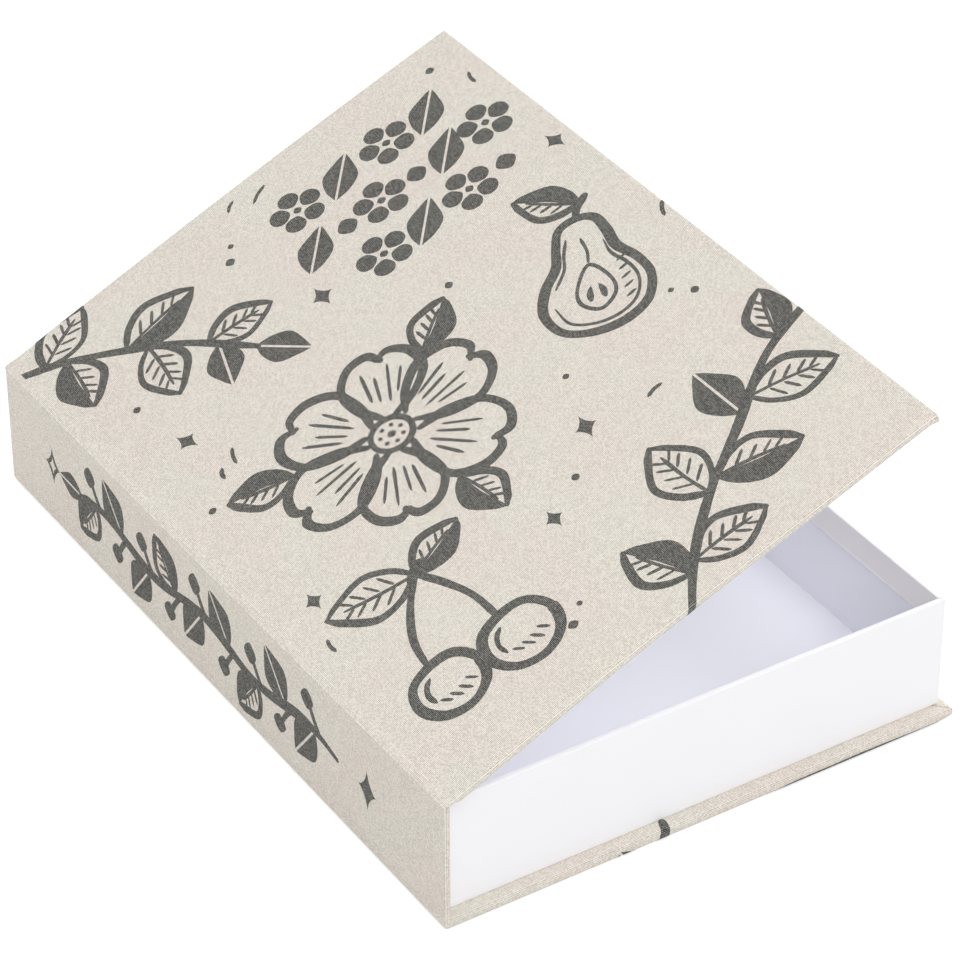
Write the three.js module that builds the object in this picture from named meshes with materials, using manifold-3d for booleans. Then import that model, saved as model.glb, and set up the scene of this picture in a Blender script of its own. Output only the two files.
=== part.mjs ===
// A book-shaped storage box: a cloth-covered board case, with a paper-covered tray glued to its back and
// spine.
// Millimetres. +X runs from the spine to the fore-edge, +Y from the tail to the head, +Z is up.
// The origin is the middle of the underside. The lid stands ajar, as it does on a table.
import * as THREE from "three";
import { mergeVertices } from "three/addons/utils/BufferGeometryUtils.js";
import Module from "manifold-3d";

// The whole box
const BOX_LENGTH = 270; // head to tail, over the cloth
const BOX_WIDTH = 184.2; // spine to fore-edge of the back cover, over the cloth
const LID_ANGLE = 23.5; // how far the lid stands open, in degrees

// The case: greyboards wrapped in one cloth
const COVER_BOARD = 2.5; // greyboard of the back cover
const LID_BOARD = 1.6; // lighter greyboard of the lid
const SPINE_BOARD = 1.1; // thinner greyboard of the spine
const CLOTH = 0.4; // covering cloth
const GLUE = 0.05; // film of glue between two layers
const CLOTH_TURN_IN = 15; // cloth folded over a board's edge and glued down inside
const MITRE_GAP = 0.3; // seam between two turn-ins that meet at a corner
const EDGE_ROUND = 1; // outer radius of the cloth where it turns over a board's edge
const SPINE_TO_BACK = 0.6; // gap between the spine board and the back board
const LINING = 0.15; // white paper pasted inside the lid
const LINING_MARGIN = 3; // cloth left showing round the lid's lining
const LID_OVERHANG = 0.4; // how far the closed lid reaches past the back cover

// The tray: a scored and folded board blank, lined, taped and wrapped in white paper
const TRAY_HEIGHT = 39.95; // over the wrap
const END_SQUARE = 4.6; // cover left free beyond the tray at the head and the tail
const FORE_SQUARE = 2.6; // cover left free beyond the tray at the fore-edge
const TRAY_BOARD = 1.0; // board of the tray
const SCORE_DEPTH = 0.5; // half-cut score that opens along the folded base edges
const CORNER_SLIT = 0.15; // slit where a short wall butts against a long one
const STAY = 0.1; // paper tape over a corner
const STAY_LEG = 15; // tape on each side of a corner
const STAY_SHORT = 1.5; // how far the tape stops short of the rim
const TRAY_LINING = 0.12; // white paper laminated to the inside of the blank
const WRAP = 0.2; // white paper over the outside
const WRAP_ROUND = 0.4; // outer radius of the wrap at the rim and the base
const RIM_TURN_IN = 10.5; // wrap folded over the rim and down inside
const BASE_TURN_IN = 14; // wrap folded under the base

// The cloth joint between the spine and the lid, a strip with a crease along each side
const FOLD_X = 0.2; // crease on the spine, in from the spine's outer face
const FOLD_RISE = 1.1; // crease on the spine, above the tray's rim
const CREASE_GAP = 0.4; // each side of a crease, so that the layers are free to fold
const LID_REST_GAP = 0.15; // closed lid's lining above the rim

const ROUND_STEPS = 4; // facets in a rounded edge

// Worked out from the sizes above
const halfLength = BOX_LENGTH / 2;
const coverThickness = 2 * CLOTH + 2 * GLUE + COVER_BOARD;
const spineThickness = 2 * CLOTH + 2 * GLUE + SPINE_BOARD;
const lidClothThickness = 2 * CLOTH + 2 * GLUE + LID_BOARD;
const lidThickness = lidClothThickness + GLUE + LINING;
const edgeWrap = CLOTH + GLUE;
const backStart = spineThickness + GLUE;
const stayRoom = STAY + 2 * GLUE;
const wallThickness = WRAP + stayRoom + TRAY_BOARD + GLUE + TRAY_LINING + GLUE + WRAP;
const tray = {
  x0: spineThickness + GLUE,
  x1: BOX_WIDTH - FORE_SQUARE,
  y: halfLength - END_SQUARE,
  z0: coverThickness + GLUE,
  z1: coverThickness + GLUE + TRAY_HEIGHT,
};
const boardInset = WRAP + stayRoom;
const lidAngle = THREE.MathUtils.degToRad(LID_ANGLE);
const foldZ = tray.z1 + FOLD_RISE;
const closedTop = tray.z1 + LID_REST_GAP + lidThickness;
const jointWidth = (closedTop - foldZ) / Math.sin(lidAngle);
const lidStart = FOLD_X + jointWidth * Math.cos(lidAngle);
const lidWidth = BOX_WIDTH + LID_OVERHANG - lidStart;
const spineBoardTop = tray.z1 - CLOTH;

const wasm = await Module();
wasm.setup();

// A closed geometry as a solid that can be joined and cut.
function solidOf(geometry) {
  geometry.deleteAttribute("normal");
  geometry.deleteAttribute("uv");
  const merged = mergeVertices(geometry, 1e-5);
  return new wasm.Manifold(
    new wasm.Mesh({
      numProp: 3,
      vertProperties: merged.getAttribute("position").array,
      triVerts: new Uint32Array(merged.index.array),
    }),
  );
}

// A named mesh of a solid.
function piece(name, solid, material) {
  const made = solid.getMesh();
  const geometry = new THREE.BufferGeometry();
  geometry.setAttribute("position", new THREE.BufferAttribute(new Float32Array(made.vertProperties), 3));
  geometry.setIndex(new THREE.BufferAttribute(new Uint32Array(made.triVerts), 1));
  geometry.computeVertexNormals();
  const mesh = new THREE.Mesh(geometry, material);
  mesh.name = name;
  return mesh;
}

// A plain sheet or a cutting block between two corners.
function sheet([x0, y0, z0], [x1, y1, z1]) {
  const block = new THREE.BoxGeometry(x1 - x0, y1 - y0, z1 - z0);
  return solidOf(block.translate((x0 + x1) / 2, (y0 + y1) / 2, (z0 + z1) / 2));
}

// A rectangle of X and Y pulled up from z0 to z1, its top and bottom edges rounded.
function roundedSheet([x0, y0, z0], [x1, y1, z1], radius) {
  const outline = new THREE.Shape();
  outline.moveTo(x0 + radius, y0 + radius);
  outline.lineTo(x1 - radius, y0 + radius);
  outline.lineTo(x1 - radius, y1 - radius);
  outline.lineTo(x0 + radius, y1 - radius);
  outline.closePath();
  const pulled = new THREE.ExtrudeGeometry(outline, {
    depth: z1 - z0 - 2 * radius,
    bevelSize: radius,
    bevelThickness: radius,
    bevelSegments: ROUND_STEPS,
  });
  return pulled.translate(0, 0, z0 + radius);
}

// An outline in X and Z, pulled along Y between two ends.
function pulledAlongY(points, y0, y1) {
  const outline = new THREE.Shape(points.map(([x, z]) => new THREE.Vector2(x, z)));
  const pulled = new THREE.ExtrudeGeometry(outline, { depth: y1 - y0, bevelEnabled: false });
  return solidOf(pulled.rotateX(Math.PI / 2).translate(0, y1, 0));
}

// An outline in X and Y, pulled up from z0 to z1.
function pulledUp(points, z0, z1) {
  const outline = new THREE.Shape(points.map(([x, y]) => new THREE.Vector2(x, y)));
  const pulled = new THREE.ExtrudeGeometry(outline, { depth: z1 - z0, bevelEnabled: false });
  return solidOf(pulled.translate(0, 0, z0));
}

// The points of a quarter circle in a profile, from one angle to another.
function quarter(x, z, radius, from, to) {
  return Array.from({ length: ROUND_STEPS + 1 }, (_, i) => {
    const angle = THREE.MathUtils.degToRad(from + ((to - from) * i) / ROUND_STEPS);
    return [x + radius * Math.cos(angle), z + radius * Math.sin(angle)];
  });
}

// A closed profile carried round the tray's outline with mitred corners. A profile point is an inset and a
// height, and the points run anticlockwise.
function carriedRoundTray(profile) {
  const corners = [
    [tray.x0, -tray.y, 1, 1],
    [tray.x1, -tray.y, -1, 1],
    [tray.x1, tray.y, -1, -1],
    [tray.x0, tray.y, 1, -1],
  ];
  const position = corners.flatMap(([x, y, inX, inY]) =>
    profile.flatMap(([inset, z]) => [x + inX * inset, y + inY * inset, z]),
  );
  const count = profile.length;
  const index = [];
  corners.forEach((_, side) => {
    profile.forEach((__, i) => {
      const here = side * count;
      const next = ((side + 1) % corners.length) * count;
      const after = (i + 1) % count;
      index.push(here + i, here + after, next + i);
      index.push(here + after, next + after, next + i);
    });
  });
  const geometry = new THREE.BufferGeometry();
  geometry.setAttribute("position", new THREE.Float32BufferAttribute(position, 3));
  geometry.setIndex(index);
  return solidOf(geometry);
}

// The cloth of one cover, outside down: the sheet, three wrapped edges and the turn-ins glued down inside,
// cut to a mitre at the two outer corners. The side at x = 0 runs on into the joint and isn't wrapped.
function coverCloth(width, thickness) {
  const roomTop = thickness - CLOTH;
  const past = 2 * EDGE_ROUND;
  const wrapped = solidOf(
    roundedSheet([-past, -halfLength, 0], [width, halfLength, thickness], EDGE_ROUND),
  ).intersect(sheet([0, -halfLength, 0], [width, halfLength, thickness]));
  const endRoom = halfLength - edgeWrap;
  const boardRoom = sheet([-1, -endRoom, CLOTH], [width - edgeWrap, endRoom, roomTop]);
  const endWindow = halfLength - CLOTH_TURN_IN;
  const window = sheet([-1, -endWindow, CLOTH], [width - CLOTH_TURN_IN, endWindow, thickness + 1]);
  const mitres = [-1, 1].map((end) => {
    const slit = new THREE.BoxGeometry(Math.SQRT2 * (CLOTH_TURN_IN + 2), MITRE_GAP, 2 * CLOTH);
    slit.rotateZ((end * Math.PI) / 4);
    slit.translate(width - CLOTH_TURN_IN / 2, end * (halfLength - CLOTH_TURN_IN / 2), thickness);
    return solidOf(slit);
  });
  return mitres.reduce((cloth, slit) => cloth.subtract(slit), wrapped.subtract(boardRoom).subtract(window));
}

// The cloth of the spine: the sheet, the wrapped ends and their turn-ins, rounded into the back cover below.
// The top of the sheet stands free of the board, up to the crease.
function spineCloth() {
  const past = 2 * EDGE_ROUND;
  const top = foldZ - CREASE_GAP;
  const standing = roundedSheet(
    [-halfLength, 0, 0],
    [halfLength, top + past, spineThickness + past],
    EDGE_ROUND,
  );
  standing.applyMatrix4(
    new THREE.Matrix4().makeBasis(
      new THREE.Vector3(0, 1, 0),
      new THREE.Vector3(0, 0, 1),
      new THREE.Vector3(1, 0, 0),
    ),
  );
  const wrapped = solidOf(standing).intersect(sheet([0, -halfLength, 0], [spineThickness, halfLength, top]));
  const endRoom = halfLength - edgeWrap;
  const boardRoom = sheet([CLOTH, -endRoom, CLOTH], [spineThickness - CLOTH, endRoom, top + 1]);
  const endWindow = halfLength - CLOTH_TURN_IN;
  const window = sheet([CLOTH, -endWindow, CLOTH], [spineThickness + 1, endWindow, top + 1]);
  const aboveBoard = sheet(
    [CLOTH, -halfLength - 1, spineBoardTop],
    [spineThickness + 1, halfLength + 1, top + 1],
  );
  return wrapped.subtract(boardRoom).subtract(window).subtract(aboveBoard);
}

// The cloth of the joint, outside down, from crease to crease: the sheet, doubled at both ends by its
// turn-ins. The side towards the lid slants, so that it stays clear when the lid closes.
function jointCloth() {
  const doubled = 2 * CLOTH;
  const slant = doubled * Math.tan(lidAngle);
  const whole = pulledAlongY(
    [
      [CREASE_GAP, 0],
      [jointWidth - CREASE_GAP, 0],
      [jointWidth - CREASE_GAP - slant, doubled],
      [CREASE_GAP + CLOTH, doubled],
    ],
    -halfLength,
    halfLength,
  );
  const endWindow = halfLength - CLOTH_TURN_IN;
  return whole.subtract(sheet([0, -endWindow, CLOTH], [jointWidth, endWindow, doubled + 1]));
}

// The paper inside the joint, pasted on the doubled cloth.
function jointLining() {
  const low = 2 * CLOTH + GLUE;
  const high = low + LINING;
  const slant = Math.tan(lidAngle);
  const end = halfLength - LINING_MARGIN;
  return pulledAlongY(
    [
      [CREASE_GAP + 2 * CLOTH, low],
      [jointWidth - CREASE_GAP - slant * low, low],
      [jointWidth - CREASE_GAP - slant * high, high],
      [CREASE_GAP + 2 * CLOTH, high],
    ],
    -end,
    end,
  );
}

// The paper inside the lid, outside down: over the turn-ins, and down the board's edge at the joint.
function lidLining() {
  const low = lidClothThickness + GLUE;
  const high = low + LINING;
  const end = halfLength - LINING_MARGIN;
  return pulledAlongY(
    [
      [-GLUE - LINING, CLOTH + GLUE],
      [-GLUE, CLOTH + GLUE],
      [-GLUE, low],
      [lidWidth - LINING_MARGIN, low],
      [lidWidth - LINING_MARGIN, high],
      [-GLUE - LINING, high],
    ],
    -end,
    end,
  );
}

// The tray's blank, folded up: a base and four walls in one board. The long walls run the full length, the
// short ones butt between them, and the half-cut scores have opened along the base edges.
function trayBoard() {
  const out = { x0: tray.x0 + boardInset, x1: tray.x1 - boardInset, y: tray.y - boardInset };
  const low = tray.z0 + WRAP + GLUE;
  const high = tray.z1 - WRAP - GLUE;
  const inside = { x0: out.x0 + TRAY_BOARD, x1: out.x1 - TRAY_BOARD, y: out.y - TRAY_BOARD };
  const folded = sheet([out.x0, -out.y, low], [out.x1, out.y, high]).subtract(
    sheet([inside.x0, -inside.y, low + TRAY_BOARD], [inside.x1, inside.y, high + 1]),
  );
  const slits = [-1, 1].flatMap((end) =>
    [inside.x0, inside.x1 - CORNER_SLIT].map((x) => {
      const ys = [end * (inside.y - 1), end * (out.y + 1)].sort((a, b) => a - b);
      return sheet([x, ys[0], low + TRAY_BOARD], [x + CORNER_SLIT, ys[1], high + 1]);
    }),
  );
  const score = [-SCORE_DEPTH, SCORE_DEPTH];
  const scores = carriedRoundTray([
    [boardInset + score[0], low],
    [boardInset, low + score[0]],
    [boardInset + score[1], low],
    [boardInset, low + score[1]],
  ]);
  return slits.reduce((board, slit) => board.subtract(slit), folded.subtract(scores));
}

// The white paper laminated inside the blank, over its floor and up its walls.
function trayLining() {
  const inset = boardInset + TRAY_BOARD + GLUE;
  const low = tray.z0 + WRAP + GLUE + TRAY_BOARD + GLUE;
  const high = tray.z1 - WRAP - GLUE;
  const faces = inset + TRAY_LINING;
  return sheet([tray.x0 + inset, inset - tray.y, low], [tray.x1 - inset, tray.y - inset, high]).subtract(
    sheet([tray.x0 + faces, faces - tray.y, low + TRAY_LINING], [tray.x1 - faces, tray.y - faces, high + 1]),
  );
}

// The white paper wrapped round the tray: up the walls, over the rim and down inside, and under the base.
// A slit across the rim at each corner lets the turned-in flaps lie flat.
function trayWrap() {
  const { z0, z1 } = tray;
  const wrapped = carriedRoundTray([
    [BASE_TURN_IN, z0 + WRAP],
    [WRAP, z0 + WRAP],
    [WRAP, z1 - WRAP],
    [wallThickness - WRAP, z1 - WRAP],
    [wallThickness - WRAP, z1 - RIM_TURN_IN],
    [wallThickness, z1 - RIM_TURN_IN],
    ...quarter(wallThickness - WRAP_ROUND, z1 - WRAP_ROUND, WRAP_ROUND, 0, 90),
    ...quarter(WRAP_ROUND, z1 - WRAP_ROUND, WRAP_ROUND, 90, 180),
    ...quarter(WRAP_ROUND, z0 + WRAP_ROUND, WRAP_ROUND, 180, 270),
    [BASE_TURN_IN, z0],
  ]);
  const slitWidth = WRAP;
  const slits = [-1, 1].flatMap((end) =>
    [
      [tray.x0, 1],
      [tray.x1, -1],
    ].map(([x, inward]) => {
      const reach = Math.SQRT2 * wallThickness;
      const slit = new THREE.BoxGeometry(reach, slitWidth, RIM_TURN_IN + 2);
      slit.translate(reach / 2 + Math.SQRT2 * WRAP, 0, z1 - RIM_TURN_IN / 2);
      slit.rotateZ(Math.atan2(-end, inward));
      slit.translate(x, end * tray.y, 0);
      return solidOf(slit);
    }),
  );
  return slits.reduce((wrap, slit) => wrap.subtract(slit), wrapped);
}

// The tape over one corner of the tray: an upright angle of thin paper.
function cornerStay(x, y, inX, inY) {
  const face = WRAP + GLUE;
  const back = face + STAY;
  const legs = [
    [face, face],
    [face + STAY_LEG, face],
    [face + STAY_LEG, back],
    [back, back],
    [back, face + STAY_LEG],
    [face, face + STAY_LEG],
  ].map(([a, b]) => [x + inX * a, y + inY * b]);
  return pulledUp(legs, tray.z0 + WRAP + GLUE, tray.z1 - STAY_SHORT);
}

function finish(colour, roughness) {
  return new THREE.MeshStandardMaterial({ color: colour, roughness, metalness: 0 });
}

const cloth = () => finish("#dad4c8", 0.9);
const greyboard = () => finish("#8f8a80", 0.95);
const trayPaper = () => finish("#f4f4f8", 0.6);
const liningPaper = () => finish("#eeeff6", 0.75);
const tape = () => finish("#c9a778", 0.8);

const box = new THREE.Group();
const base = new THREE.Group();
base.position.x = -BOX_WIDTH / 2;
box.add(base);

// The back cover and the spine
const backCloth = piece("back_cloth", coverCloth(BOX_WIDTH - backStart, coverThickness), cloth());
backCloth.position.x = backStart;
const endOfBoard = halfLength - edgeWrap;
const backBoard = piece(
  "back_board",
  sheet(
    [edgeWrap + SPINE_BOARD + SPINE_TO_BACK, -endOfBoard, edgeWrap],
    [BOX_WIDTH - edgeWrap, endOfBoard, edgeWrap + COVER_BOARD],
  ),
  greyboard(),
);
const spineBoard = piece(
  "spine_board",
  sheet([edgeWrap, -endOfBoard, edgeWrap], [edgeWrap + SPINE_BOARD, endOfBoard, spineBoardTop]),
  greyboard(),
);
base.add(backCloth, backBoard, spineBoard, piece("spine_cloth", spineCloth(), cloth()));

// The tray
base.add(
  piece("tray_board", trayBoard(), greyboard()),
  piece("tray_lining", trayLining(), liningPaper()),
  piece("tray_wrap", trayWrap(), trayPaper()),
);
for (const [end, y, inY] of [
  ["tail", -tray.y, 1],
  ["head", tray.y, -1],
]) {
  for (const [side, x, inX] of [
    ["spine", tray.x0, 1],
    ["fore", tray.x1, -1],
  ]) {
    base.add(piece(`corner_stay_${end}_${side}`, cornerStay(x, y, inX, inY), tape()));
  }
}

// The joint and the lid are modelled outside down and turned over, each hung from its own crease.
const joint = new THREE.Group();
joint.position.set(FOLD_X, 0, foldZ);
joint.rotation.y = -lidAngle;
base.add(joint);
const jointPieces = new THREE.Group();
jointPieces.rotation.x = Math.PI;
joint.add(jointPieces);
jointPieces.add(
  piece("joint_cloth", jointCloth(), cloth()),
  piece("joint_lining", jointLining(), liningPaper()),
);

const lid = new THREE.Group();
lid.position.x = jointWidth;
joint.add(lid);
const lidPieces = new THREE.Group();
lidPieces.rotation.x = Math.PI;
lid.add(lidPieces);
lidPieces.add(
  piece("lid_cloth", coverCloth(lidWidth, lidClothThickness), cloth()),
  piece(
    "lid_board",
    sheet([0, -endOfBoard, edgeWrap], [lidWidth - edgeWrap, endOfBoard, edgeWrap + LID_BOARD]),
    greyboard(),
  ),
  piece("lid_lining", lidLining(), liningPaper()),
);

export default box;
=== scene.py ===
import math
import random

import bmesh
import bpy
from mathutils import Matrix, Vector
from mathutils.geometry import delaunay_2d_cdt


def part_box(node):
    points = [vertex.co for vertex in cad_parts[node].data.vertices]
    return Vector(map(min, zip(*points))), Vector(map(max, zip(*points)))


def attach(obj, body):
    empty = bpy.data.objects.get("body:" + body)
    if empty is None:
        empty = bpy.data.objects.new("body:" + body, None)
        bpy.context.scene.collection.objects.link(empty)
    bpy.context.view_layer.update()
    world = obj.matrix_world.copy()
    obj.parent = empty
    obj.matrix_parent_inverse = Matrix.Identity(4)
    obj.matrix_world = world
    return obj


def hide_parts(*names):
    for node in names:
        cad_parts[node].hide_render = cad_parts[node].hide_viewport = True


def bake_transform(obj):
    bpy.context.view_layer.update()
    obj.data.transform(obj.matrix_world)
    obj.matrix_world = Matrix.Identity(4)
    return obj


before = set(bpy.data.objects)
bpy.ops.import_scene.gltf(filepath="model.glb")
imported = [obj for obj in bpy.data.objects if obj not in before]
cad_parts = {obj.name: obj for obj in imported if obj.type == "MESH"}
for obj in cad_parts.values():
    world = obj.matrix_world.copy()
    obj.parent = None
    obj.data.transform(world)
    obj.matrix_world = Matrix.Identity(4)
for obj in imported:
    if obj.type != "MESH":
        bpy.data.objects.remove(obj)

bpy.ops.object.select_all(action="DESELECT")
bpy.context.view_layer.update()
mm = 0.001


# The camera looks down on the lid through a long lens, from the tail end and a little
# to the left of the spine. Its place comes from fitting the box's edges to the picture.
camera_turn = math.radians(-32.354)
camera_height = math.radians(35.276)
camera_roll = math.radians(-0.216)
camera_distance = 1389.5 * mm
camera_target = Vector((22.18, 26.11, 20)) * mm
sensor_width = 36
focal_pixels = 4298.1
picture_width = 960

towards_camera = Vector((
    math.sin(camera_turn) * math.cos(camera_height),
    -math.cos(camera_turn) * math.cos(camera_height),
    math.sin(camera_height),
))
level_right = Vector((math.cos(camera_turn), math.sin(camera_turn), 0))
level_up = towards_camera.cross(level_right)
camera_right = level_right * math.cos(camera_roll) + level_up * math.sin(camera_roll)
camera_up = level_up * math.cos(camera_roll) - level_right * math.sin(camera_roll)


def into_scene(name, data):
    made = bpy.data.objects.new(name, data)
    bpy.context.collection.objects.link(made)
    return made


camera_data = bpy.data.cameras.new("long_lens")
camera_data.sensor_width = sensor_width
camera_data.lens = sensor_width * focal_pixels / picture_width
camera_data.clip_start = 0.05
camera_data.clip_end = 50
camera = into_scene("camera", camera_data)
camera_axes = Matrix((camera_right, camera_up, towards_camera)).transposed()
camera_place = camera_target + towards_camera * camera_distance
camera.matrix_world = Matrix.Translation(camera_place) @ camera_axes.to_4x4()
bpy.context.scene.camera = camera


# The studio is a white table that runs out of sight, under an even white sky. The table
# glows a little for the camera, more so far away where the lamps don't reach, so that it
# shows as white and still keeps the shadow.
bpy.context.scene.view_settings.view_transform = "Standard"
white = (1, 1, 1, 1)
sky_light = 0.33
table_colour = (0.82, 0.82, 0.82, 1)
table_glow = 0.44
table_glow_rises = 0.6
table_glow_full = 2.4
table_size = 12
table_drop = 0.05 * mm
lamp_aim = Vector((0, 0, 0.05))


def add_node(tree, kind, feeds=None, **settings):
    made = tree.nodes.new("ShaderNode" + kind)
    for name, value in settings.items():
        setattr(made, name, value)
    for socket, value in (feeds or {}).items():
        if isinstance(value, bpy.types.NodeSocket):
            tree.links.new(value, made.inputs[socket])
        else:
            made.inputs[socket].default_value = value
    return made


def figure(tree, operation, *values):
    return add_node(tree, "Math", dict(enumerate(values)), operation=operation).outputs[0]


def new_material(name):
    material = bpy.data.materials.new(name)
    material.use_nodes = True
    material.node_tree.nodes.clear()
    return material, material.node_tree


def finish_material(tree, feeds):
    shader = add_node(tree, "BsdfPrincipled", feeds)
    add_node(tree, "OutputMaterial", {"Surface": shader.outputs[0]})


sky = bpy.data.worlds.new("even_white_sky")
sky.use_nodes = True
tree = sky.node_tree
tree.nodes.clear()
rays = add_node(tree, "LightPath").outputs
seen_or_glossy = figure(tree, "MAXIMUM", rays["Is Camera Ray"], rays["Is Glossy Ray"])
seen_at_all = figure(tree, "MAXIMUM", seen_or_glossy, rays["Is Transmission Ray"])
sky_strength = add_node(
    tree, "MapRange", {"Value": seen_at_all, "To Min": sky_light, "To Max": 1.0}
)
sky_shader = add_node(
    tree, "Background", {"Color": white, "Strength": sky_strength.outputs["Result"]}
)
add_node(tree, "OutputWorld", {"Surface": sky_shader.outputs[0]})
bpy.context.scene.world = sky

table_material, tree = new_material("white_table")
rays = add_node(tree, "LightPath").outputs
where = add_node(tree, "TexCoord")
from_middle = add_node(tree, "VectorMath", {0: where.outputs["Object"]}, operation="LENGTH")
glow_here = add_node(tree, "MapRange", {
    "Value": from_middle.outputs["Value"],
    "From Min": table_glow_rises,
    "From Max": table_glow_full,
    "To Min": table_glow,
    "To Max": 1.0,
})
seen_glow = figure(tree, "MULTIPLY", rays["Is Camera Ray"], glow_here.outputs["Result"])
finish_material(tree, {
    "Base Color": table_colour,
    "Roughness": 0.9,
    "Specular IOR Level": 0.0,
    "Emission Color": white,
    "Emission Strength": seen_glow,
})

bpy.ops.mesh.primitive_plane_add(size=table_size, location=(0, 0, -table_drop))
table = bpy.context.object
table.name = "table"
bpy.ops.object.transform_apply(location=True, rotation=True, scale=True)
table.data.materials.append(table_material)

# Six large soft lamps. Two shine in over the tail end, and one each from the head and the
# fore-edge, under the raised lid, so that the inside of the tray stays bright. One hangs
# overhead and a low one stands on the spine's side.
for lamp_name, lamp_place, lamp_size, lamp_watts in (
    ("tail_softbox", (-0.3, -2.3, 1.75), 1.8, 29),
    ("high_tail_softbox", (0.25, -1.6, 2.4), 1.6, 22),
    ("head_softbox", (0.6, 2.3, 0.9), 1.6, 15),
    ("fore_edge_softbox", (2.2, 0.9, 0.95), 1.6, 26),
    ("overhead_softbox", (-0.2, 0.3, 2.8), 1.8, 10),
    ("spine_softbox", (-2.4, 0.8, 0.45), 1.4, 24),
):
    lamp_data = bpy.data.lights.new(lamp_name, "AREA")
    lamp_data.shape = "SQUARE"
    lamp_data.size = lamp_size
    lamp_data.energy = lamp_watts
    lamp = into_scene(lamp_name, lamp_data)
    lamp.location = lamp_place
    aim = lamp_aim - lamp.location
    lamp.rotation_euler = aim.to_track_quat("-Z", "Y").to_euler()


# The boards are solid grey board. Those of the back cover and the spine are flat, but for the
# corners of the back cover, which are knocked thin. The lid's thinner board has taken a bow
# across its width, and the cloth joint pulls its tail side up.
case_width = 184.2 * mm
half_width = case_width / 2
half_length = 135 * mm
cover_thickness = 3.4 * mm
lid_angle = math.radians(23.5)
lid_crease = Vector((-91.9, 0, 44.5)) * mm
lid_start = 4.389 * mm
lid_width = 180.375 * mm
lid_thickness = 2.5 * mm
lid_bow = 1.3 * mm
bow_steps = 24
length_steps = 9
tail_rise = 1.7 * mm
rise_across = (52 * mm, -40 * mm)
rise_upwards = (18 * mm, 43 * mm)
cloth_thickness = 0.4 * mm
glue = 0.05 * mm
board_inset = cloth_thickness + glue
lid_board_round = 0.3 * mm
corner_reach = 8.5 * mm
corner_lift = 1.0 * mm
corner_press = 0.25 * mm
corner_rows = (1.5 * mm, 3.5 * mm, 6.5 * mm, 11 * mm)
cut_snap = 1e-6


def bowed(point):
    along = (point.x - lid_start) / lid_width
    if along <= 0 or along >= 1:
        return point
    return Vector((point.x, point.y, point.z + lid_bow * (1 - (2 * along - 1) ** 2)))


def soft_share(value, start, end):
    share = min(1, max(0, (value - start) / (end - start)))
    return share * share * (3 - 2 * share)


def knocked_in(point):
    reach = Vector((half_width - point.x, half_length - abs(point.y))).length
    share = max(0, 1 - reach / corner_reach) ** 2
    lift = corner_lift * (1 - point.z / cover_thickness) - corner_press * point.z / cover_thickness
    return Vector((point.x, point.y, point.z + lift * share))


def pulled_up(point):
    rise = tail_rise * ((half_length - point.y) / (2 * half_length)) ** 2
    rise *= soft_share(point.x, *rise_across) * soft_share(point.z, *rise_upwards)
    return Vector((point.x, point.y, point.z + rise))


def start_edit():
    bpy.ops.object.mode_set(mode="EDIT")


def end_edit():
    bpy.ops.object.mode_set(mode="OBJECT")


def cut_at(axis, place, remove_behind=False):
    normal = Vector((axis == "x", axis == "y", axis == "z"))
    bpy.ops.mesh.select_all(action="SELECT")
    bpy.ops.mesh.bisect(
        plane_co=normal * place,
        plane_no=normal,
        use_fill=False,
        clear_inner=remove_behind,
        threshold=cut_snap,
    )


def new_block(name, low, high):
    middle = (Vector(low) + Vector(high)) / 2
    size = Vector(high) - Vector(low)
    bpy.ops.mesh.primitive_cube_add(size=1, location=middle, scale=size)
    block = bpy.context.object
    block.name = name
    bpy.ops.object.transform_apply(location=True, rotation=True, scale=True)
    return block


def select_only(piece):
    bpy.ops.object.select_all(action="DESELECT")
    piece.select_set(True)
    bpy.context.view_layer.objects.active = piece


def bend_and_raise_lid(piece):
    for point in piece.data.vertices:
        point.co = bowed(point.co)
    piece.rotation_euler = (0, -lid_angle, 0)
    piece.location = lid_crease
    select_only(piece)
    bpy.ops.object.transform_apply(location=True, rotation=True, scale=True)
    for point in piece.data.vertices:
        point.co = pulled_up(point.co)


def cut_for_bow():
    start_edit()
    for step in range(1, bow_steps):
        cut_at("x", lid_start + lid_width * step / bow_steps)
    for step in range(1, length_steps):
        cut_at("y", half_length * (2 * step / length_steps - 1))
    end_edit()


lid_board = new_block(
    "lid_board_bowed",
    (lid_start + board_inset, -half_length + board_inset, -lid_thickness + board_inset),
    (lid_start + lid_width - board_inset, half_length - board_inset, -board_inset),
)
start_edit()
bpy.ops.mesh.bevel(offset=lid_board_round, segments=2, affect="EDGES")
end_edit()
cut_for_bow()
bpy.ops.object.shade_smooth_by_angle(angle=math.radians(40))
bend_and_raise_lid(lid_board)

back_low, back_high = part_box("back_board")
back_board = new_block("back_board_knocked", back_low, back_high)
start_edit()
for reach in corner_rows:
    cut_at("x", half_width - reach)
    for side in (-1, 1):
        cut_at("y", side * (half_length - reach))
end_edit()
for point in back_board.data.vertices:
    point.co = knocked_in(point.co)


def object_noise(tree, scale, detail):
    where = add_node(tree, "TexCoord")
    feeds = {"Vector": where.outputs["Object"], "Scale": scale, "Detail": detail}
    return add_node(tree, "TexNoise", feeds).outputs["Fac"]


def tinted(tree, colour, tint):
    feeds = {"Fac": 1.0, "Color1": colour, "Color2": tint}
    return add_node(tree, "MixRGB", feeds, blend_type="MULTIPLY").outputs[0]


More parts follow.
